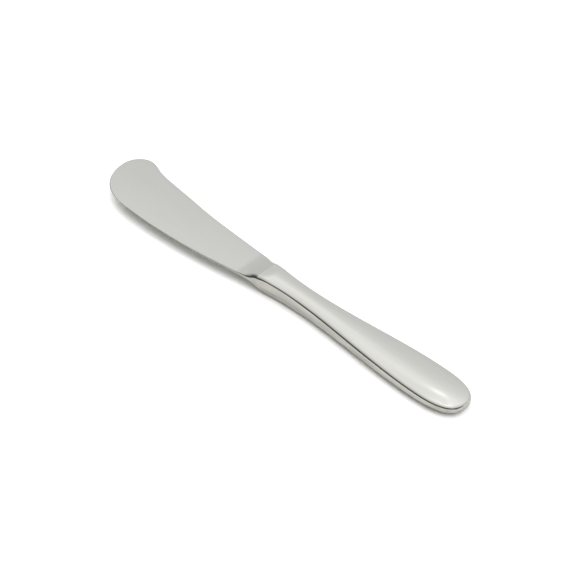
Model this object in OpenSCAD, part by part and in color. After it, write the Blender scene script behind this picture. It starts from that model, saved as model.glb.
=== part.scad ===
// Butter knife with a hollow handle. The blade, its shoulder and its tang are one forging. The handle is two
// pressed half shells, brazed edge to edge and to the shoulder, round a filler that holds the tang.
// The knife lies on its side as on a table: x runs from the tip to the butt, y from the cutting edge to the
// spine, z up. It is drawn about its shoulder, on its middle plane, and then laid on z = 0. Millimetres.

/* [Blade] */
// Length of the blade, from its tip to the shoulder's rear face
blade_len = 81.4; // [74:0.2:95]
// Width of the blade at its heel
heel_w = 12.3; // [11:0.05:14]
// How far the heel sits to the spine's side of the knife's centre line
heel_off = 0.15; // [0:0.025:0.5]
// Height of the flared spine above the centre line
flare_h = 14.85; // [12:0.1:18]
// Depth of the cutting edge's belly below the centre line
belly_d = 9.7; // [7.5:0.1:12]
// Height of the blade's foremost point above the centre line
tip_h = 6.8; // [4:0.1:8]
// Length of the round corner between the flare and the tip
flare_round = 8; // [5:0.1:10]
// Length of the sweep from the belly up to the tip
belly_round = 19; // [15:0.5:26]
// Thickness of the blade on the centre line, at the shoulder
blade_t = 1.6; // [1.5:0.05:2]
// Thickness of the blade on the centre line, at the tip
tip_t = 0.9; // [0.8:0.05:1.2]
// Thickness ground away from the centre line down to the belly
grind = 0.7; // [0.2:0.05:0.75]
// How far the rounding of the blade's edges reaches in over the flats
edge_r = 0.38; // [0.1:0.02:0.5]

/* [Shoulder] */
// Length over which the blade's sides swell to the neck
shoulder_len = 5.6; // [4:0.1:6.4]
// Distance in front of the shoulder's rear face at which the flats start to rise
ramp_before = 9.6; // [8:0.1:12]
// Distance behind the shoulder's rear face at which that rise is complete
ramp_after = 4.6; // [3:0.1:6]
// How far the rounding reaches in over the crown at the heel, where it is softest
heel_r = 2; // [0.6:0.05:2.2]

/* [Handle] */
// Length of the handle, from the shoulder to the butt
handle_len = 90.4; // [80:0.2:110]
// Width of the handle where it meets the shoulder
neck_w = 10.95; // [9.5:0.05:12]
// Width of the handle at its waist
waist_w = 8.6; // [7.6:0.1:9.6]
// Distance of the waist from the shoulder
waist_at = 14.6; // [10:0.2:20]
// Width of the handle at its widest
palm_w = 16.5; // [13:0.1:20]
// Length of the round butt, from the widest place to the end
butt_round = 16.5; // [12:0.5:22]
// Height of the side wall at the neck
neck_h = 6.1; // [5:0.1:7.4]
// Height of the side wall at the butt
butt_h = 2.8; // [2.4:0.1:4]
// Rise of the crowned faces above the side wall at the neck
neck_crown = 0.8; // [0.6:0.05:1.4]
// Rise of the crowned faces above the side wall at the widest place
palm_crown = 1.25; // [0.8:0.05:2]
// How far the rounding between a side wall and a crowned face reaches in over the crown, at the neck
neck_r = 0.9; // [0.4:0.05:1.2]
// The same along the grip and round the butt
grip_r = 1.1; // [0.4:0.05:1.3]

/* [Inside the handle] */
// Wall of the pressed half shells
wall = 0.8; // [0.5:0.05:1]
// Reach of the rounding in the corners of the hollow
hollow_r = 0.3; // [0.05:0.05:0.4]
// Thickness of the braze in each joint
braze_t = 0.1; // [0.05:0.01:0.15]
// Length of the tang behind the shoulder
tang_len = 38; // [25:1:60]
// Width of the tang at the shoulder
tang_root_w = 5; // [4:0.1:5.6]
// Width of the tang at its end
tang_end_w = 3.2; // [2.4:0.1:4]
// Thickness of the tang
tang_t = 2.4; // [1.6:0.1:3]

/* [Smoothness] */
// Cross sections along the blade between the shoulder and the sweep to the tip
blade_steps = 9; // [6:1:16]
// Cross sections along the shoulder
shoulder_steps = 12; // [8:1:16]
// Cross sections round the tip
tip_steps = 20; // [12:1:26]
// Cross sections behind the shoulder, while the rise ends
mouth_steps = 4; // [3:1:8]
// Cross sections along the handle from there to its widest place
grip_steps = 13; // [9:1:20]
// Cross sections round the butt
butt_steps = 9; // [6:1:14]
// Facets across a crowned face, an even number
crown_steps = 8; // [6:2:12]
// Facets round the rounding between a wall and a crown
corner_steps = 4; // [2:1:5]

/* [Hidden] */

// Half widths at the heel, on the spine's side and on the edge's side
heel_spine = heel_w/2 + heel_off;
heel_edge = heel_w/2 - heel_off;

// The spine from heel to tip: share of the length, share of the rise from the heel to the flare
spine_shares = [[0, 0], [0.05, 0.04], [0.1, 0.063], [0.24, 0.14], [0.41, 0.258], [0.57, 0.443],
    [0.75, 0.648], [0.81, 0.751], [0.85, 0.883], [0.885, 0.976], [0.92, 1], [1, 1]];
// The cutting edge from heel to tip: share of the length, share of the drop from the heel to the belly
edge_shares = [[0, 0], [0.03, 0.075], [0.08, 0.22], [0.15, 0.41], [0.22, 0.6], [0.31, 0.775],
    [0.42, 0.92], [0.57, 1], [0.66, 0.975], [0.75, 0.89], [0.82, 0.865], [0.9, 0.92], [1, 1]];
// The side wall from neck to butt: share of the length, share of the difference in height still left
side_shares = [[0, 1], [0.14, 0.77], [0.33, 0.48], [0.5, 0.3], [0.67, 0.21], [0.89, 0.04], [1, 0]];
// The side wall in front of the shoulder's rear face: share of the way there from where the flats start to
// rise, share of the growth from the blade's edge to the neck's side wall
swell_shares = [[0, 0], [0.1, 0.015], [0.25, 0.08], [0.48, 0.19], [0.64, 0.46], [0.79, 0.8], [0.92, 0.98],
    [1, 1]];
// Where on the shoulder the rounding reaches furthest, and how much of that it has where the shoulder starts
heel_place_share = 0.36;
heel_start_share = 0.2;

// Fullness of the round ends: 2 is an ellipse, more is squarer
flare_power = 2;
belly_power = 2.1;
butt_power = 2.6;

// How much of the wall's half height a rounding may take
deepest_share = 0.85;

// Angles of the last cross section before the tip and before the butt
tip_angle = 3;
butt_angle = 5;

// The widest place of the handle
palm_at = handle_len - butt_round;

function mix(a, b, s) = a + (b - a)*s;
function ease(s) = let (t = max(0, min(1, s))) t*t*(3 - 2*t);
function dome(d, power) = pow(1 - pow(max(0, d), power), 1/power);

// A smooth curve through the rows of a table, each a place and a value
function row_at(rows, x, i = 0) = i + 2 >= len(rows) || x < rows[i + 1][0] ? i : row_at(rows, x, i + 1);
function slope_at(rows, i) =
    let (a = rows[max(0, i - 1)], b = rows[min(len(rows) - 1, i + 1)])
    (b[1] - a[1])/(b[0] - a[0]);
function curve(rows, x) =
    let (i = row_at(rows, x), a = rows[i], b = rows[i + 1], run = b[0] - a[0], t = (x - a[0])/run)
    mix(a[1], b[1], ease(t)) + run*t*(1 - t)*((1 - t)*slope_at(rows, i) - t*slope_at(rows, i + 1));

// The flats of the blade are planes: half the thickness at a place
function flat_z(x, y) = (blade_t + (blade_t - tip_t)*x/blade_len + grind*y/belly_d)/2;

// How far the section at x has come from blade to handle: in the width between its sides, in the height of
// its sides, and in the height of its centre line
function side_turn(x) = ease(1 + x/shoulder_len);
function swell(x) = x < -ramp_before ? 0 : x < 0 ? curve(swell_shares, 1 + x/ramp_before) : 1;
function centre_turn(x) = ease((x + ramp_before)/(ramp_before + ramp_after));

// How far the rounding between the side and the crown reaches in at x
round_rows = [[-ramp_before, edge_r], [-shoulder_len, mix(edge_r, heel_r, heel_start_share)],
    [-shoulder_len*heel_place_share, heel_r], [ramp_after, neck_r], [2*waist_at, grip_r],
    [handle_len, grip_r]];
function round_at(x) = x < -ramp_before ? edge_r : curve(round_rows, x);

// Half the height of the handle's side wall, and the full rise of its crown
function wall_z(x) = mix(butt_h, neck_h, x < 0 ? 1 : curve(side_shares, x/handle_len))/2;
function full_crown(x) = mix(neck_crown, palm_crown, max(0, min(1, x/palm_at)));
// Height of the crest on the centre line, and the rise of the crown above the sides there
function crest_z(x) = mix(flat_z(x, 0), wall_z(x) + full_crown(x), centre_turn(x));
function crown(x) = crest_z(x) - mix(flat_z(x, 0), wall_z(x), swell(x));

// Share of the length from heel to tip, and the blade's two sides
function reach(x) = max(0, (-x - shoulder_len)/(blade_len - shoulder_len));
function spine_y(x) =
    let (side = mix(heel_spine, flare_h, curve(spine_shares, reach(x))),
        d = 1 - (x + blade_len)/flare_round)
    mix(mix(tip_h, side, dome(d, flare_power)), neck_w/2, side_turn(x));
function edge_y(x) =
    let (side = -mix(heel_edge, belly_d, curve(edge_shares, reach(x))),
        d = 1 - (x + blade_len)/belly_round)
    mix(mix(tip_h, side, dome(d, belly_power)), -neck_w/2, side_turn(x));

// Half the handle's width in front of the butt
function grip_y(x) = x < waist_at
    ? mix(waist_w, neck_w, pow(1 - x/waist_at, 2))/2
    : mix(waist_w, palm_w, ease((x - waist_at)/(palm_at - waist_at)))/2;

// Upper half of a cross section, from the low side y0 to the high side y1. Its sides would meet the crown at
// heights z0 and z1, and a rounding that reaches in by r takes off each of these corners.
function roof_z(y, y0, y1, z0, z1, rise) =
    let (s = (y - y0)/(y1 - y0)) mix(z0, z1, s) + 4*rise*s*(1 - s);
function roof_slope(y, y0, y1, z0, z1, rise) =
    (z1 - z0 + 4*rise*(1 - 2*(y - y0)/(y1 - y0)))/(y1 - y0);
// A rounding leaves the side upright at its foot and meets the crown at the crown's own slope. The two lines
// meet at its peak.
function corner(y, turn, r, top, slope) =
    let (peak = top - slope*r, foot = peak - min(r, deepest_share*peak), weight = sin(45 + atan(slope)/2))
    [for (i = [0:corner_steps - 1])
        let (t = i/corner_steps, a = (1 - t)*(1 - t), b = 2*t*(1 - t)*weight, c = t*t)
        [y + turn*r*c/(a + b + c), (a*foot + b*peak + c*top)/(a + b + c)]];
function reversed(list) = [for (i = [len(list) - 1:-1:0]) list[i]];
function half_section(y0, y1, z0, z1, rise, r) = concat(
    corner(y0, 1, r, roof_z(y0 + r, y0, y1, z0, z1, rise), roof_slope(y0 + r, y0, y1, z0, z1, rise)),
    [for (i = [0:crown_steps]) let (y = mix(y0 + r, y1 - r, i/crown_steps))
        [y, roof_z(y, y0, y1, z0, z1, rise)]],
    reversed(corner(y1, -1, r, roof_z(y1 - r, y0, y1, z0, z1, rise),
        -roof_slope(y1 - r, y0, y1, z0, z1, rise))));

// A whole section in the plane at x, from its upper half
function whole_section(x, half) = concat(
    [for (p = half) [x, p[0], p[1]]],
    [for (p = reversed(half)) [x, p[0], -p[1]]]);

// The blade and shoulder: places of the cross sections, from the shoulder to the tip
sweep_at = belly_round - blade_len;
blade_places = concat(
    [for (i = [0:shoulder_steps - 1]) mix(-braze_t, -ramp_before, i/shoulder_steps)],
    [for (i = [0:blade_steps - 1]) mix(-ramp_before, sweep_at, i/blade_steps)],
    [for (i = [0:tip_steps]) sweep_at - belly_round*cos(mix(90, tip_angle, i/tip_steps))]);
function blade_half(x) =
    let (y0 = edge_y(x), y1 = spine_y(x), turn = swell(x))
    half_section(y0, y1, mix(flat_z(x, y0), wall_z(x), turn), mix(flat_z(x, y1), wall_z(x), turn),
        crown(x), round_at(x));

// The handle: each place is the outside's x, the hollow's x and how far round the butt it is
handle_places = concat(
    [for (i = [0:mouth_steps - 1]) let (x = mix(0, ramp_after, i/mouth_steps)) [x, x, 0]],
    [for (i = [0:grip_steps - 1]) let (x = mix(ramp_after, palm_at, i/grip_steps)) [x, x, 0]],
    [for (i = [0:butt_steps]) let (d = cos(mix(90, butt_angle, i/butt_steps)))
        [palm_at + butt_round*d, palm_at + (butt_round - wall)*d, d]]);
function handle_half(x, d, inset, r) =
    let (y = (grip_y(x) - inset)*dome(d, butt_power), z = wall_z(x) - inset)
    half_section(-y, y, z, z, crown(x)*(1 - pow(d, butt_power)), min(r, y/2));
outer_halves = [for (p = handle_places) handle_half(p[0], p[2], 0, round_at(p[0]))];
hollow_halves = [for (p = handle_places) handle_half(p[1], p[2], wall, hollow_r)];

// Where the knife touches the table, under its neck and under its widest place, and how it then lies
tilt = atan((crest_z(ramp_after) - crest_z(palm_at))/(palm_at - ramp_after));
lift = max([for (i = [0:len(handle_places) - 1])
    handle_places[i][0]*sin(tilt) + max([for (q = outer_halves[i]) q[1]])*cos(tilt)]);
mid_x = (handle_len - blade_len)/2;
mid_y = (max([for (x = blade_places) spine_y(x)]) + min([for (x = blade_places) edge_y(x)]))/2;

module laid() {
    translate([-mid_x, -mid_y, lift]) rotate([0, tilt, 0]) children();
}

// Two triangles for the four-sided patch a, b, c, d, clockwise as seen from outside
function patch(a, b, c, d) = [[a, b, c], [a, c, d]];

// The skin through a row of whole sections, and the fan that closes one from one of its corners
function skin(count, last) = [for (i = [0:last - 1], j = [0:count - 1])
    let (a = i*count, b = a + count, k = (j + 1) % count) each patch(a + j, a + k, b + k, b + j)];
function fan(count, from) = [for (j = [0:count - 3]) [from, (from + 1 + j) % count, (from + 2 + j) % count]];
function shifted(faces, by) = [for (f = faces) [for (j = f) j + by]];
// The corner in the middle of a section's upper crown
function crest_of(count) = (count/2 - 1)/2;

// The tang is a flat bar with four corners
function tang_corners(x, w) = [for (s = [[-w, tang_t], [w, tang_t], [w, -tang_t], [-w, -tang_t]])
    [x, s[0]/2, s[1]/2]];

// The shoulder's rear face, between the last section and the tang's root: each quarter of the section is a
// fan round one corner of the tang, with a face between two fans
function rear_face(count, rear, root) = let (half = count/2, crest = crest_of(count)) concat(
    [for (k = [0:3], j = [0:crest - 1]) let (a = rear + floor(k/2)*half + (k % 2)*crest + j)
        [a, a + 1, root + k]],
    [for (k = [0:1]) [rear + k*half + crest, root + 2*k + 1, root + 2*k]],
    [for (k = [0:1]) each patch(rear + (k + 1)*half - 1, rear + ((k + 1)*half) % count,
        root + (2*k + 2) % 4, root + 2*k + 1)]);

module blade() {
    sections = [for (x = reversed(blade_places)) whole_section(x, blade_half(x))];
    count = len(sections[0]);
    last = len(sections) - 1;
    root = (last + 1)*count;
    end = root + 4;
    color("silver") laid() polyhedron(
        points = concat([for (s = sections) each s], tang_corners(-braze_t, tang_root_w),
            tang_corners(tang_len, tang_end_w)),
        faces = concat([for (f = fan(count, 0)) reversed(f)], skin(count, last),
            rear_face(count, last*count, root), shifted(skin(4, 1), root),
            [[for (k = [0:3]) end + k]]));
}

// A half shell: the outside, the hollow, the rim between them at the seam and at the mouth, and both ends
function rim(half) = concat([[half[0][0], braze_t/2]], half, [[half[len(half) - 1][0], braze_t/2]]);
module half_shell() {
    count = len(outer_halves[0]) + 2;
    last = len(handle_places) - 1;
    hollow = (last + 1)*count;
    polyhedron(
        points = concat(
            [for (i = [0:last]) each [for (q = rim(outer_halves[i])) [handle_places[i][0], q[0], q[1]]]],
            [for (i = [0:last]) each [for (q = rim(hollow_halves[i])) [handle_places[i][1], q[0], q[1]]]]),
        faces = concat(
            [for (i = [0:last - 1], j = [0:count - 2]) let (a = i*count + j, b = a + count)
                each patch(a, a + 1, b + 1, b)],
            [for (i = [0:last - 1], j = [0:count - 2]) let (a = hollow + i*count + j, b = a + count)
                each patch(a, b, b + 1, a + 1)],
            [for (i = [0:last - 1]) let (a = i*count, b = a + count)
                each patch(a, b, hollow + b, hollow + a)],
            [for (i = [0:last - 1]) let (a = i*count + count - 1, b = a + count)
                each patch(a, hollow + a, hollow + b, b)],
            [for (j = [0:count - 2]) each patch(j, hollow + j, hollow + j + 1, j + 1)],
            [[for (j = [0:count - 1]) last*count + j]],
            [[for (j = [count - 1:-1:0]) hollow + last*count + j]],
            patch(last*count, last*count + count - 1, hollow + last*count + count - 1,
                hollow + last*count)));
}

module handle_shell_upper() {
    color("silver") laid() half_shell();
}

module handle_shell_lower() {
    color("silver") laid() mirror([0, 0, 1]) half_shell();
}

// The room the tang takes in the filler, from in front of the filler's mouth
module tang_room() {
    linear_extrude(height = tang_t, center = true)
        polygon([[-shoulder_len, -tang_root_w/2], [-braze_t, -tang_root_w/2], [tang_len, -tang_end_w/2],
            [tang_len, tang_end_w/2], [-braze_t, tang_root_w/2], [-shoulder_len, tang_root_w/2]]);
}

// The filler takes the whole hollow, up to the shoulder's rear face, less the tang
module handle_filler() {
    sections = concat([whole_section(-braze_t, rim(hollow_halves[0]))],
        [for (i = [0:len(handle_places) - 1]) whole_section(handle_places[i][1], rim(hollow_halves[i]))]);
    count = len(sections[0]);
    last = len(sections) - 1;
    color("dimgray") laid() difference() {
        polyhedron(
            points = [for (s = sections) each s],
            faces = concat([for (f = fan(count, crest_of(count))) reversed(f)], skin(count, last),
                shifted(fan(count, crest_of(count)), last*count)));
        tang_room();
    }
}

// The braze between the two half shells, a band as wide as their wall
module seam_braze() {
    outside = [for (i = [0:len(handle_places) - 1]) [handle_places[i][0], outer_halves[i][0][0]]];
    hollow = [for (i = [0:len(handle_places) - 1]) [handle_places[i][1], hollow_halves[i][0][0]]];
    color("khaki") laid() linear_extrude(height = braze_t, center = true)
        polygon(concat(outside, [for (p = reversed(outside)) [p[0], -p[1]]],
            [for (p = hollow) [p[0], -p[1]]], reversed(hollow)));
}

// The braze between the shoulder and the mouth of the handle
module shoulder_braze() {
    outside = whole_section(0, rim(outer_halves[0]));
    hollow = whole_section(0, rim(hollow_halves[0]));
    color("khaki") laid() rotate([90, 0, -90]) linear_extrude(height = braze_t) difference() {
        polygon([for (p = outside) [-p[1], p[2]]]);
        polygon([for (p = hollow) [-p[1], p[2]]]);
    }
}

blade();
handle_shell_upper();
handle_shell_lower();
handle_filler();
seam_braze();
shoulder_braze();
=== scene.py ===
import math
import bmesh
import bpy
from mathutils import Matrix, Vector


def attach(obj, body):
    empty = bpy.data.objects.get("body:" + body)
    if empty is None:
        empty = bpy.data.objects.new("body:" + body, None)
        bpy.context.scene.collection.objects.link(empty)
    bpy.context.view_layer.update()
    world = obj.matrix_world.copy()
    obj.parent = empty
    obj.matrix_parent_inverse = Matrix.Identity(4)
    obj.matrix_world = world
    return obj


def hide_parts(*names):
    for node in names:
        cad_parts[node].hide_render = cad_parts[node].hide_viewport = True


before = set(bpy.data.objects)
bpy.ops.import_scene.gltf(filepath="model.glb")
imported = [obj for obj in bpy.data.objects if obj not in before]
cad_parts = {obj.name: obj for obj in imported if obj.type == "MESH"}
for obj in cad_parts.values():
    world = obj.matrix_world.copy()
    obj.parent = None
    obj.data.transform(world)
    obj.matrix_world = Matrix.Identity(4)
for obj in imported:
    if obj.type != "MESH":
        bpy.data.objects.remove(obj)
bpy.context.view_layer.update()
mm = 0.001
print("frame loaded")


# Camera, as the photograph was taken

cameraSettings = {
    "azimuth": 44.51,  # degrees round from the cutting edge's side
    "elevation": 41.0,  # degrees above the table
    "distance": 724.0,  # mm from the point it is aimed at
    "aim": (-2.8, -2.526, 3.72),  # mm, on the middle plane just behind the shoulder
    "lens": 129.6,  # mm on the usual 36 mm sensor
    "shift": (0.0329, -0.0195),  # the knife lies a little left of and above the middle of the frame
    "clip": (0.01, 20.0),  # m
}


def addCamera(settings):
    turn = math.radians(settings["azimuth"])
    rise = math.radians(settings["elevation"])
    forward = Vector((-math.sin(turn) * math.cos(rise), math.cos(turn) * math.cos(rise), -math.sin(rise)))
    data = bpy.data.cameras.new("camera")
    data.lens = settings["lens"]
    data.shift_x, data.shift_y = settings["shift"]
    data.clip_start, data.clip_end = settings["clip"]
    camera = bpy.data.objects.new("camera", data)
    camera.location = (Vector(settings["aim"]) - forward * settings["distance"]) * mm
    camera.rotation_mode = "QUATERNION"
    camera.rotation_quaternion = forward.to_track_quat("-Z", "Y")
    bpy.context.scene.collection.objects.link(camera)
    bpy.context.scene.camera = camera


addCamera(cameraSettings)
bpy.context.scene.view_settings.view_transform = "Standard"
print("camera placed")


# The knife's shape in mm, as in the CAD source: x from the shoulder's rear face, y towards the spine. Its two
# lengths are a few hundredths shorter, as the CAD's round ends stop just short, and its neck a hair lower.

blade = {
    "length": 81.375,
    "heelSpine": 6.3,
    "heelEdge": 6.0,
    "flare": 14.83,
    "belly": 9.698,
    "tipHeight": 6.8,
    "flareRound": 8.0,
    "bellyRound": 19.0,
    "thickness": 1.6,
    "tipThickness": 0.9,
    "grind": 0.7,
    "edgeRadius": 0.38,
    "flarePower": 2.0,
    "bellyPower": 2.1,
    # share of the way from heel to tip, share of the rise or drop
    "spineRows": [(0, 0), (0.05, 0.04), (0.1, 0.063), (0.24, 0.14), (0.41, 0.258), (0.57, 0.443),
                  (0.75, 0.648), (0.81, 0.751), (0.85, 0.883), (0.885, 0.976), (0.92, 1), (1, 1)],
    "edgeRows": [(0, 0), (0.03, 0.075), (0.08, 0.22), (0.15, 0.41), (0.22, 0.6), (0.31, 0.775),
                 (0.42, 0.92), (0.57, 1), (0.66, 0.975), (0.75, 0.89), (0.82, 0.865), (0.9, 0.92), (1, 1)],
}
tang = {"length": 38.0, "rootWidth": 5.0, "endWidth": 3.2, "thickness": 2.4}
shoulder = {
    "length": 5.6,
    "rampBefore": 9.6,
    "rampAfter": 4.6,
    # share of the way from the start of the ramp to the rear face, share of the side wall's growth
    "swellRows": [(0, 0), (0.1, 0.015), (0.25, 0.08), (0.48, 0.19), (0.64, 0.46), (0.79, 0.8),
                  (0.92, 0.98), (1, 1)],
}
handle = {
    "length": 90.347,
    "neck": 10.95,
    "waist": 8.6,
    "waistAt": 14.6,
    "palm": 16.5,
    "buttRound": 16.5,
    "buttPower": 2.6,
    "neckHeight": 6.1,
    "buttHeight": 2.8,
    "neckCrown": 0.793,
    "palmCrown": 1.25,
    "wall": 0.8,
    "hollowRadius": 0.3,
    # place along the knife, how far the round between wall and crown reaches
    "creaseRows": [(-9.6, 0.38), (-5.6, 0.704), (-2.016, 2.0), (4.6, 0.9), (29.2, 1.1), (90, 1.1)],
    # share of the way from neck to butt, share of the difference in height still left
    "sideRows": [(0, 1), (0.14, 0.77), (0.33, 0.48), (0.5, 0.3), (0.67, 0.21), (0.89, 0.04), (1, 0)],
}
braze = {"thickness": 0.1}
palmAt = handle["length"] - handle["buttRound"]
tiny = 1e-6  # keeps the points where two outlines meet from dividing by nothing


def mix(a, b, share):
    return a + (b - a) * share


def ease(share):
    t = min(1.0, max(0.0, share))
    return t * t * (3 - 2 * t)


def dome(d, power):
    return max(0.0, 1 - min(1.0, max(0.0, d)) ** power) ** (1 / power)


def curveThrough(rows, x):
    # a smooth curve through the rows, which takes its slope at each from the rows beside it
    i = 0
    while i + 2 < len(rows) and x >= rows[i + 1][0]:
        i += 1

    def slopeAt(k):
        a, b = rows[max(0, k - 1)], rows[min(len(rows) - 1, k + 1)]
        return (b[1] - a[1]) / (b[0] - a[0])

    (x0, v0), (x1, v1) = rows[i], rows[i + 1]
    run, t = x1 - x0, (x - x0) / (x1 - x0)
    return mix(v0, v1, ease(t)) + run * t * (1 - t) * ((1 - t) * slopeAt(i) - t * slopeAt(i + 1))


def flatZ(x, y):
    taper = (blade["thickness"] - blade["tipThickness"]) * x / blade["length"]
    return (blade["thickness"] + taper + blade["grind"] * y / blade["belly"]) / 2


def sideTurn(x):
    return ease(1 + x / shoulder["length"])


def swell(x):
    if x < -shoulder["rampBefore"]:
        return 0
    return curveThrough(shoulder["swellRows"], 1 + x / shoulder["rampBefore"]) if x < 0 else 1


def centreTurn(x):
    return ease((x + shoulder["rampBefore"]) / (shoulder["rampBefore"] + shoulder["rampAfter"]))


def roundReach(x):
    return blade["edgeRadius"] if x < -shoulder["rampBefore"] else curveThrough(handle["creaseRows"], x)


def wallZ(x):
    left = 1 if x < 0 else curveThrough(handle["sideRows"], x / handle["length"])
    return mix(handle["buttHeight"], handle["neckHeight"], left) / 2


def crestZ(x):
    crown = mix(handle["neckCrown"], handle["palmCrown"], min(1, max(0, x / palmAt)))
    return mix(flatZ(x, 0), wallZ(x) + crown, centreTurn(x))


def crownRise(x):
    return crestZ(x) - mix(flatZ(x, 0), wallZ(x), swell(x))


def bladeSide(x, heel, reachOut, rows, roundLength, power, sign):
    along = max(0, (-x - shoulder["length"]) / (blade["length"] - shoulder["length"]))
    side = sign * mix(heel, reachOut, curveThrough(rows, along))
    out = mix(blade["tipHeight"], side, dome(1 - (x + blade["length"]) / roundLength, power))
    return mix(out, sign * handle["neck"] / 2, sideTurn(x))


def spineY(x):
    return bladeSide(x, blade["heelSpine"], blade["flare"], blade["spineRows"], blade["flareRound"],
                     blade["flarePower"], 1)


def edgeY(x):
    return bladeSide(x, blade["heelEdge"], blade["belly"], blade["edgeRows"], blade["bellyRound"],
                     blade["bellyPower"], -1)


def gripY(x):
    if x < handle["waistAt"]:
        return mix(handle["waist"], handle["neck"], (1 - x / handle["waistAt"]) ** 2) / 2
    along = (x - handle["waistAt"]) / (palmAt - handle["waistAt"])
    return mix(handle["waist"], handle["palm"], ease(along)) / 2


# How the knife lies: on its neck and on the widest place of its handle, the middle of its box at the origin

tilt = math.atan((crestZ(shoulder["rampAfter"]) - crestZ(palmAt)) / (palmAt - shoulder["rampAfter"]))
lift = max(x * math.sin(tilt) + crestZ(x) * math.cos(tilt) for x in (shoulder["rampAfter"], palmAt))
middle = (4.5, 2.527)


def laid(x, y, z):
    return Vector((
        x * math.cos(tilt) + z * math.sin(tilt) - middle[0],
        y - middle[1],
        z * math.cos(tilt) - x * math.sin(tilt) + lift)) * mm


# Cross sections: each is a row of points, from the seam on the cutting edge's side over the crown

sectionSteps = {
    "corner": 8,  # points round a corner
    "crown": 26,  # points over the crown
    "support": 0.15,  # mm from a corner to the row that holds its shading
    "supportMost": 0.3,  # and the most of a crown step that it may take
    "deepest": 0.85,  # share of the wall's height that a round may take
    "slopeShare": 0.02,  # share of a round's reach over which the roof's slope is read
}


def inwardNormals(line, beyond, turn):
    normals = []
    for i, here in enumerate(line):
        before = beyond if i == 0 else line[i - 1]
        after = line[min(i + 1, len(line) - 1)]
        run = (Vector(after) - Vector(before)).normalized()
        normals.append(Vector((-run.y, run.x)) * turn)
    return normals


def roundedCorner(base, inward, roofZ, radius):
    # the round leaves the wall upright and meets the roof at the roof's own slope
    base = Vector(base)
    reach = radius(base.x)
    inner = base + inward * reach
    nearby = inner + inward * reach * sectionSteps["slopeShare"]
    top = roofZ(inner.x, inner.y)
    rise = (roofZ(nearby.x, nearby.y) - top) / (reach * sectionSteps["slopeShare"])
    peak = top - rise * reach
    foot = peak - min(reach, sectionSteps["deepest"] * peak)
    weight = math.sin((math.pi / 2 + math.atan(rise)) / 2)
    arc = []
    for k in range(sectionSteps["corner"] + 1):
        t = k / sectionSteps["corner"]
        shares = ((1 - t) ** 2, 2 * t * (1 - t) * weight, t * t)
        spot = base + inward * reach * shares[2] / sum(shares)
        arc.append((spot.x, spot.y, (shares[0] * foot + shares[1] * peak + shares[2] * top) / sum(shares)))
    return arc, inner


def halfSections(low, high, roofZ, radius):
    # low and high are the two sides' outlines, which meet at their first points
    rows = []
    crown = sectionSteps["crown"]
    lowIn, highIn = inwardNormals(low, high[1], 1), inwardNormals(high, low[1], -1)
    for p, q, pIn, qIn in zip(low, high, lowIn, highIn):
        lowArc, lowInner = roundedCorner(p, pIn, roofZ, radius)
        highArc, highInner = roundedCorner(q, qIn, roofZ, radius)
        span = (highInner - lowInner).length
        guard = min(sectionSteps["support"] / span, sectionSteps["supportMost"] / crown) if span > 0 else 0
        shares = [guard, *(k / crown for k in range(1, crown)), 1 - guard]
        spots = [lowInner.lerp(highInner, share) for share in shares]
        over = [(spot.x, spot.y, roofZ(spot.x, spot.y)) for spot in spots]
        rows.append(lowArc + over + highArc[::-1])
    return rows


def roundStations(end, length, steps, power=1.0):
    # from the round end inwards, close together where the outline turns
    return [end + length * (1 - math.cos(math.pi / 2 * (k / steps) ** power)) for k in range(steps + 1)]


def wholeRow(half):
    return half + [(x, y, -z) for x, y, z in reversed(half)]


meshSettings = {"sameSpot": 1e-7, "noLength": 1e-8, "sharpFrom": 40.0}  # m, m, degrees


def gridPiece(rows, closeRound):
    # one grid of quads laid over the rows of points, doubles merged where it meets itself
    if closeRound:
        rows = [row + [row[0]] for row in rows]
    columns = len(rows[0])
    bm = bmesh.new()
    bmesh.ops.create_grid(bm, x_segments=columns - 1, y_segments=len(rows) - 1, size=1)
    bm.verts.ensure_lookup_table()
    for k, vert in enumerate(bm.verts):
        vert.co = laid(*rows[k // columns][k % columns])
    bmesh.ops.remove_doubles(bm, verts=bm.verts, dist=meshSettings["sameSpot"])
    bmesh.ops.dissolve_degenerate(bm, edges=bm.edges, dist=meshSettings["noLength"])
    return bm


def fillEnds(bm):
    bmesh.ops.holes_fill(bm, edges=[edge for edge in bm.edges if edge.is_boundary], sides=0)


def finishPiece(name, bm, node):
    bmesh.ops.recalc_face_normals(bm, faces=bm.faces)
    mesh = bpy.data.meshes.new(name)
    bm.to_mesh(mesh)
    bm.free()
    mesh.shade_smooth()
    mesh.set_sharp_from_angle(angle=math.radians(meshSettings["sharpFrom"]))
    piece = bpy.data.objects.new(name, mesh)
    bpy.context.scene.collection.objects.link(piece)
    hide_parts(node)
    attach(piece, "root")
    return piece


# Blade, shoulder and tang

bladeSteps = {"tip": 44, "flats": 70, "ramp": 40}


def bladeStations():
    sweepAt = blade["bellyRound"] - blade["length"]
    stations = roundStations(-blade["length"], blade["bellyRound"], bladeSteps["tip"])
    for k in range(1, bladeSteps["flats"] + 1):
        stations.append(mix(sweepAt, -shoulder["rampBefore"], k / bladeSteps["flats"]))
    for k in range(1, bladeSteps["ramp"] + 1):
        stations.append(mix(-shoulder["rampBefore"], -braze["thickness"], k / bladeSteps["ramp"]))
    return stations


def bladeSideZ(x, y):
    return mix(flatZ(x, y), wallZ(x), swell(x))


def bladeRoofZ(x, y):
    low, high = edgeY(x), spineY(x)
    s = (y - low) / (high - low) if high > low else 0.5
    return mix(bladeSideZ(x, low), bladeSideZ(x, high), s) + 4 * crownRise(x) * s * (1 - s)


def bladeRows(stations):
    low, high = [(x, edgeY(x)) for x in stations], [(x, spineY(x)) for x in stations]
    return [wholeRow(half) for half in halfSections(low, high, bladeRoofZ, roundReach)]


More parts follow.
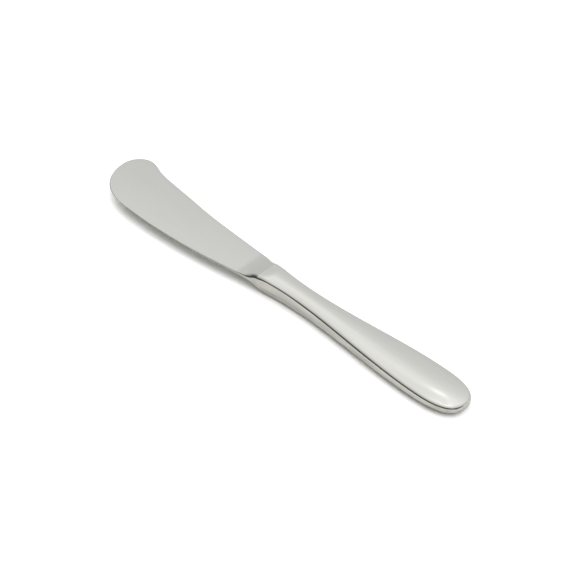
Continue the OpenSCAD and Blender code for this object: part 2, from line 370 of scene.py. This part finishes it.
def tangRow(x, around):
    # the tang's four-sided section, with a point for each point of the section around it
    start = -braze["thickness"]
    width = mix(tang["rootWidth"], tang["endWidth"], (x - start) / (tang["length"] - start))
    row = []
    for _, y, z in around:
        reach = max(abs(y) / (width / 2), abs(z) / (tang["thickness"] / 2), tiny)
        row.append((x, y / reach, z / reach))
    return row


def makeBlade():
    rows = bladeRows(bladeStations())
    around = rows[-1]
    bm = gridPiece(rows + [tangRow(-braze["thickness"], around), tangRow(tang["length"], around)], True)
    fillEnds(bm)
    return finishPiece("bladeForging", bm, "blade")


bladeForging = makeBlade()
print("blade made")


# Handle: two half shells, and the braze between them and at the shoulder

handleSteps = {"mouth": 16, "grip": 90, "butt": 44, "buttCrowding": 1.3}


def handleStations(inset):
    # from the butt to the mouth
    length = handle["buttRound"] - inset
    butt = roundStations(-(palmAt + length), length, handleSteps["butt"], handleSteps["buttCrowding"])
    stations = [-x for x in butt]
    for k in range(1, handleSteps["grip"] + 1):
        stations.append(mix(palmAt, shoulder["rampAfter"], k / handleSteps["grip"]))
    for k in range(1, handleSteps["mouth"] + 1):
        stations.append(mix(shoulder["rampAfter"], 0, k / handleSteps["mouth"]))
    return stations


def handleShare(x, inset):
    return min(1, max(0, (x - palmAt) / (handle["buttRound"] - inset)))


def handleSide(x, inset):
    return (gripY(min(x, palmAt)) - inset) * dome(handleShare(x, inset), handle["buttPower"])


def handleRows(inset, radius):
    def roofZ(x, y):
        half = max(handleSide(x, inset), tiny)
        s = min(1, max(0, (y + half) / (2 * half)))
        fall = 1 - handleShare(x, inset) ** handle["buttPower"]
        return wallZ(x) - inset + 4 * crownRise(x) * fall * s * (1 - s)

    near = [(x, -handleSide(x, inset)) for x in handleStations(inset)]
    far = [(x, -y) for x, y in near]
    seamZ = braze["thickness"] / 2
    # seen from the butt the sides change places, so they are given the other way round
    halves = halfSections(far, near, roofZ, radius)
    return [[(*row[0][:2], seamZ)] + row + [(*row[-1][:2], seamZ)] for row in halves]


def mirrorShell(bm):
    # over the knife's own middle plane, which lies at a slight tilt
    flip = Matrix.Scale(-1, 4, Vector((math.sin(tilt), 0, math.cos(tilt))))
    bmesh.ops.transform(bm, matrix=flip, space=Matrix.Translation(-laid(0, 0, 0)), verts=bm.verts)


def makeShell(name, node, upper):
    # the lower shell is the upper one's mirror image
    outer = gridPiece(handleRows(0, roundReach), False)
    inner = gridPiece(handleRows(handle["wall"], lambda x: handle["hollowRadius"]), False)
    holder = bpy.data.meshes.new("hollow")
    inner.to_mesh(holder)
    inner.free()
    outer.from_mesh(holder)
    bpy.data.meshes.remove(holder)
    bmesh.ops.bridge_loops(outer, edges=[edge for edge in outer.edges if edge.is_boundary])
    if not upper:
        mirrorShell(outer)
    return finishPiece(name, outer, node)


shellUpper = makeShell("handleShellUpper", "handle_shell_upper", True)
shellLower = makeShell("handleShellLower", "handle_shell_lower", False)
print("shells made")


def makeSeamBraze():
    near, far = [], []
    half = braze["thickness"] / 2
    for outerX, innerX in zip(handleStations(0), handleStations(handle["wall"])):
        for line, side in ((near, -1), (far, 1)):
            outer = (outerX, side * handleSide(outerX, 0))
            inner = (innerX, side * handleSide(innerX, handle["wall"]))
            line.append([(*outer, half), (*inner, half), (*inner, -half), (*outer, -half)])
    bm = gridPiece(near[::-1] + far, True)
    fillEnds(bm)
    return finishPiece("seamBraze", bm, "seam_braze")


def makeShoulderBraze():
    start = -braze["thickness"]
    front, back = bladeRows([-shoulder["length"], start, 0])[1:]
    loops = [front, back, tangRow(0, back), tangRow(start, front), front]
    return finishPiece("shoulderBraze", gridPiece(loops, True), "shoulder_braze")


seamBraze = makeSeamBraze()
shoulderBraze = makeShoulderBraze()
print("braze made")


# Steel, and the other materials

def linear(code):
    channels = [int(code[i:i + 2], 16) / 255 for i in (0, 2, 4)]
    return tuple(c / 12.92 if c <= 0.04045 else ((c + 0.055) / 1.055) ** 2.4 for c in channels) + (1.0,)


def addNode(tree, kind, settings=None, links=None):
    # a colour Mix node has its two colours at sockets 6 and 7 and its result at output 2
    node = tree.nodes.new(kind)
    for key, value in (settings or {}).items():
        if isinstance(key, str) and hasattr(node, key):
            setattr(node, key, value)
        else:
            node.inputs[key].default_value = value
    for socket, source in (links or {}).items():
        tree.links.new(source, node.inputs[socket])
    return node


def newMaterial(name, settings):
    material = bpy.data.materials.new(name)
    material.use_nodes = True
    shader = material.node_tree.nodes["Principled BSDF"]
    shader.inputs["Metallic"].default_value = settings["metallic"]
    return material, material.node_tree, shader


def perMetre(sizes):
    return [1 / (size * mm) for size in sizes]


steelNoise = {
    "detail": 4.0,
    "fineness": 0.62,
    "range": (0.25, 0.75),  # where nearly all of its values lie
    "faceToWall": (0.85, 0.35),  # how level the surface is where a face ends and where a wall begins
}


def steelMaterial(name, settings):
    material, tree, shader = newMaterial(name, settings)
    place = addNode(tree, "ShaderNodeTexCoord")
    # lines along the knife: the noise is stretched in x, so that each line is long and thin
    stretched = addNode(tree, "ShaderNodeMapping", {"Scale": perMetre(settings["lineSize"])},
                        {"Vector": place.outputs["Object"]})
    grain = addNode(tree, "ShaderNodeTexNoise", {
        "Scale": 1.0, "Detail": steelNoise["detail"], "Roughness": steelNoise["fineness"],
    }, {"Vector": stretched.outputs["Vector"]}).outputs["Fac"]
    # the steep side walls show the lines more than the faces do
    upright = addNode(tree, "ShaderNodeSeparateXYZ", {}, {"Vector": place.outputs["Normal"]})
    level = addNode(tree, "ShaderNodeMath", {"operation": "ABSOLUTE"}, {0: upright.outputs["Z"]})
    contrast = addNode(tree, "ShaderNodeMapRange", {
        "From Min": steelNoise["faceToWall"][0], "From Max": steelNoise["faceToWall"][1],
        "To Min": settings["linesOnFaces"], "To Max": settings["linesOnWalls"],
    }, {"Value": level.outputs[0]})
    centred = addNode(tree, "ShaderNodeMath", {"operation": "SUBTRACT", 1: 0.5}, {0: grain})
    shown = addNode(tree, "ShaderNodeMath", {"operation": "MULTIPLY_ADD", 2: 0.5},
                    {0: centred.outputs[0], 1: contrast.outputs["Result"]})
    tone = addNode(tree, "ShaderNodeMix", {
        "data_type": "RGBA", 6: linear(settings["darker"]), 7: linear(settings["lighter"]),
    }, {"Factor": shown.outputs[0]})
    haze = addNode(tree, "ShaderNodeMapRange", {
        "From Min": steelNoise["range"][0], "From Max": steelNoise["range"][1],
        "To Min": settings["roughness"][0], "To Max": settings["roughness"][1],
    }, {"Value": grain})
    relief = addNode(tree, "ShaderNodeBump", {
        "Strength": settings["relief"], "Distance": settings["reliefHeight"] * mm,
    }, {"Height": grain})
    if "fullness" in settings:
        # polishing leaves the ground faces a little fuller in the middle than at the edges
        parts = addNode(tree, "ShaderNodeSeparateXYZ", {}, {"Vector": place.outputs["Object"]})
        across = addNode(tree, "ShaderNodeMath", {"operation": "DIVIDE", 1: settings["halfWidth"] * mm},
                         {0: parts.outputs["Y"]})
        fall = addNode(tree, "ShaderNodeMath", {"operation": "MULTIPLY"},
                       {0: across.outputs[0], 1: across.outputs[0]})
        full = addNode(tree, "ShaderNodeBump", {"Distance": settings["fullness"] * mm, "invert": True},
                       {"Height": fall.outputs[0]})
        tree.links.new(full.outputs["Normal"], relief.inputs["Normal"])
    tree.links.new(tone.outputs[2], shader.inputs["Base Color"])
    tree.links.new(haze.outputs["Result"], shader.inputs["Roughness"])
    tree.links.new(relief.outputs["Normal"], shader.inputs["Normal"])
    return material


def spottedMaterial(name, settings):
    material, tree, shader = newMaterial(name, settings)
    place = addNode(tree, "ShaderNodeTexCoord")
    spots = addNode(tree, "ShaderNodeTexNoise", {"Scale": perMetre([settings["spotSize"]])[0], "Detail": 5.0},
                    {"Vector": place.outputs["Object"]}).outputs["Fac"]
    tone = addNode(tree, "ShaderNodeMix", {
        "data_type": "RGBA", 6: linear(settings["darker"]), 7: linear(settings["lighter"]),
    }, {"Factor": spots})
    haze = addNode(tree, "ShaderNodeMapRange", {
        "To Min": settings["roughness"][0], "To Max": settings["roughness"][1],
    }, {"Value": spots})
    relief = addNode(tree, "ShaderNodeBump", {
        "Strength": settings["relief"], "Distance": settings["reliefHeight"] * mm,
    }, {"Height": spots})
    tree.links.new(tone.outputs[2], shader.inputs["Base Color"])
    tree.links.new(haze.outputs["Result"], shader.inputs["Roughness"])
    tree.links.new(relief.outputs["Normal"], shader.inputs["Normal"])
    return material


def dress(piece, material):
    piece.data.materials.clear()
    piece.data.materials.append(material)


# stainless steel, flat ground and finely polished along the blade: an even pale grey, the lines barely seen
bladeSteel = {
    "metallic": 1.0, "darker": "C3C4BF", "lighter": "CDCDC9", "roughness": (0.12, 0.16),
    # mm along, across and up: the real lines are finer than a pixel, so they are drawn about 0.8 mm apart
    "lineSize": (20.0, 0.83, 0.83), "linesOnFaces": 0.6, "linesOnWalls": 1.6,
    "relief": 0.02, "reliefHeight": 0.01,  # share, mm
    "fullness": 0.22, "halfWidth": 11.0,  # mm
}
# stainless steel, pressed and polished by hand: brighter, with soft streaks along the side walls
handleSteel = {
    "metallic": 1.0, "darker": "BBBAB5", "lighter": "E2E2DE", "roughness": (0.1, 0.14),
    # these lines too are finer than a pixel, and drawn about 1 mm apart
    "lineSize": (45.5, 1.11, 0.83), "linesOnFaces": 0.2, "linesOnWalls": 2.6,
    "relief": 0.03, "reliefHeight": 0.01,
}
# silver braze, polished flush: as bright as the steel and a little warmer
silverBraze = {
    "metallic": 1.0, "darker": "CBC9C1", "lighter": "D5D2C7", "roughness": (0.12, 0.18),
    "spotSize": 1.1,  # mm, the mottling that its flow leaves
    "relief": 0.1, "reliefHeight": 0.05,
}
# cement cast round the tang: dull brown grey with coarse grains
cement = {
    "metallic": 0.0, "darker": "4A453E", "lighter": "6A645B", "roughness": (0.85, 0.95),
    "spotSize": 0.67,  # mm, the size of its sand
    "relief": 0.5, "reliefHeight": 0.05,
}

dress(bladeForging, steelMaterial("stainlessSteelGround", bladeSteel))
handleMaterial = steelMaterial("stainlessSteelPressed", handleSteel)
dress(shellUpper, handleMaterial)
dress(shellLower, handleMaterial)
brazeMaterial = spottedMaterial("silverBraze", silverBraze)
dress(seamBraze, brazeMaterial)
dress(shoulderBraze, brazeMaterial)
dress(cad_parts["handle_filler"], spottedMaterial("cementCast", cement))
print("materials made")


# Floor and light

floorLook = {
    "size": 3.0,  # m, each way from the knife
    "paper": "F3F2EF",
    "mirrored": "E1DFDA",  # as the steel shows it
    "seen": "FFFEFC",  # as the camera shows it
    "overexposed": 1.244,  # times white for the camera, as in the photograph
}


def floorMaterial(settings):
    # uncoated white paper, matt: bright for the camera and the steel, but plain in the light it gives back
    material = bpy.data.materials.new("floorWhitePaper")
    material.use_nodes = True
    tree = material.node_tree
    tree.nodes.remove(tree.nodes["Principled BSDF"])
    path = addNode(tree, "ShaderNodeLightPath")
    first = addNode(tree, "ShaderNodeMath", {"operation": "LESS_THAN", 1: 0.5},
                    {0: path.outputs["Diffuse Depth"]})
    mirrored = addNode(tree, "ShaderNodeMath", {"operation": "MULTIPLY"},
                       {0: path.outputs["Is Glossy Ray"], 1: first.outputs[0]})
    own = addNode(tree, "ShaderNodeMix", {
        "data_type": "RGBA", 6: linear(settings["paper"]), 7: linear(settings["mirrored"]),
    }, {"Factor": mirrored.outputs[0]})
    white = [channel * settings["overexposed"] for channel in linear(settings["seen"])[:3]]
    shown = addNode(tree, "ShaderNodeMix", {"data_type": "RGBA", 7: (*white, 1)},
                    {"Factor": path.outputs["Is Camera Ray"], 6: own.outputs[2]})
    diffuse = addNode(tree, "ShaderNodeBsdfDiffuse", {}, {"Color": shown.outputs[2]})
    tree.links.new(diffuse.outputs[0], tree.nodes["Material Output"].inputs["Surface"])
    return material


def addFloor(settings):
    mesh = bpy.data.meshes.new("floor")
    bm = bmesh.new()
    bmesh.ops.create_grid(bm, x_segments=1, y_segments=1, size=settings["size"])
    bm.to_mesh(mesh)
    bm.free()
    floor = bpy.data.objects.new("floor", mesh)
    bpy.context.scene.collection.objects.link(floor)
    dress(floor, floorMaterial(settings))


addFloor(floorLook)

studio = {
    "strength": 1.8,
    # What the world holds, each laid over the ones before it. Turns are degrees clockwise from the spine's
    # side, and edges are how far from there the light is gone and how far it is full. Rows give the height
    # looked at, 0 level and 1 straight up, and the brightness there.
    "areas": [
        # the room all round, dim at the camera's side and warm as brown walls are
        {"tint": (1.0, 0.97, 0.87),
         "rows": [(0, 0.03), (0.34, 0.1), (0.5, 0.28), (0.64, 0.68), (0.77, 0.96), (0.87, 1.04), (0.93, 1.22),
                  (1, 1.45)]},
        # a bright backdrop behind the knife
        {"blend": "MIX", "turn": -10.0, "edge": (100.0, 52.0),
         "rows": [(0, 0.9), (0.26, 0.92), (0.42, 0.96), (0.5, 0.98), (0.6, 1.03), (0.67, 1.07), (0.72, 1.11),
                  (0.766, 1.17), (0.81, 1.29), (0.85, 1.35), (0.875, 1.27), (0.91, 1.26), (1, 1.3)]},
        # strips of light over the handle
        {"blend": "ADD", "turn": -58.0, "edge": (24.0, 8.0),
         "rows": [(0, 0), (0.64, 0), (0.72, 0.08), (0.78, 0.08), (0.85, 0), (1, 0)]},
        {"blend": "ADD", "turn": -39.0, "edge": (10.0, 2.0),
         "rows": [(0, 0), (0.83, 0), (0.85, 0.4), (0.866, 0.6), (0.884, 0), (1, 0)]},
        {"blend": "ADD", "turn": -57.0, "edge": (19.0, 9.0),
         "rows": [(0, 0), (0.9, 0), (0.915, 0.06), (0.93, 0.22), (1, 0.22)]},
        {"blend": "ADD", "turn": -46.0, "edge": (30.0, 14.0),
         "rows": [(0, 0), (0.915, 0), (0.94, 0.1), (0.965, 0.36), (1, 0.38)]},
        {"blend": "ADD", "turn": -24.0, "edge": (12.0, 5.0),
         "rows": [(0, 0), (0.878, 0), (0.9, 0.32), (0.92, 0.42), (1, 0.42)]},
        {"blend": "ADD", "turn": -30.0, "edge": (30.0, 14.0),
         "rows": [(0, 0), (0.83, 0), (0.855, 0.13), (0.88, 0.06), (0.91, 0.04), (0.95, 0.1), (1, 0.1)]},
    ],
    # soft lamps overhead, which the steel does not mirror, shape the shadows
    "lampColour": (0.9, 0.95, 1.0),
    "lamps": [
        {"name": "lampOverTip", "turn": -76.0, "rise": 47.0, "spread": 57.0, "strength": 1.035},
        {"name": "lampOverButt", "turn": 80.0, "rise": 56.0, "spread": 57.0, "strength": 0.72},
    ],
}


def directionOf(turn):
    return (math.sin(math.radians(turn)), math.cos(math.radians(turn)), 0)


def addWorld(settings):
    world = bpy.data.worlds.new("studio")
    bpy.context.scene.world = world
    world.use_nodes = True
    tree = world.node_tree
    looked = addNode(tree, "ShaderNodeTexCoord").outputs["Generated"]
    height = addNode(tree, "ShaderNodeSeparateXYZ", {}, {"Vector": looked}).outputs["Z"]
    flat = addNode(tree, "ShaderNodeVectorMath", {"operation": "MULTIPLY", 1: (1, 1, 0)}, {0: looked})
    level = addNode(tree, "ShaderNodeVectorMath", {"operation": "NORMALIZE"}, {0: flat.outputs[0]}).outputs[0]
    light = None
    for area in settings["areas"]:
        ramp = addNode(tree, "ShaderNodeValToRGB", {}, {"Fac": height})
        elements = ramp.color_ramp.elements
        while len(elements) < len(area["rows"]):
            elements.new(0.5)
        for element, (place, value) in zip(elements, area["rows"]):
            # half as bright as written, because a ramp's colours stop at 1; a tint is for the dark parts
            tint = [mix(channel, 1, min(1, value)) for channel in area.get("tint", (1, 1, 1))]
            element.position = place
            element.color = (*(value / 2 * channel for channel in tint), 1)
        if light is None:
            light = ramp.outputs["Color"]
            continue
        dot = addNode(tree, "ShaderNodeVectorMath", {
            "operation": "DOT_PRODUCT", 1: directionOf(area["turn"]),
        }, {0: level})
        gone, full = (math.cos(math.radians(angle)) for angle in area["edge"])
        reach = addNode(tree, "ShaderNodeMapRange", {
            "interpolation_type": "SMOOTHSTEP", "From Min": gone, "From Max": full,
        }, {"Value": dot.outputs["Value"]})
        light = addNode(tree, "ShaderNodeMix", {"data_type": "RGBA", "blend_type": area["blend"]},
                        {"Factor": reach.outputs["Result"], 6: light, 7: ramp.outputs["Color"]}).outputs[2]
    background = tree.nodes["Background"]
    tree.links.new(light, background.inputs["Color"])
    background.inputs["Strength"].default_value = settings["strength"]


def addLamp(settings, colour):
    data = bpy.data.lights.new(settings["name"], "SUN")
    data.energy = settings["strength"]
    data.angle = math.radians(settings["spread"])
    data.color = colour
    lamp = bpy.data.objects.new(settings["name"], data)
    rise = math.radians(settings["rise"])
    toLamp = Vector(directionOf(settings["turn"])) * math.cos(rise) + Vector((0, 0, math.sin(rise)))
    lamp.rotation_mode = "QUATERNION"
    lamp.rotation_quaternion = toLamp.to_track_quat("Z", "Y")
    lamp.visible_glossy = False
    bpy.context.scene.collection.objects.link(lamp)


addWorld(studio)
for lampSettings in studio["lamps"]:
    addLamp(lampSettings, studio["lampColour"])
print("light set")
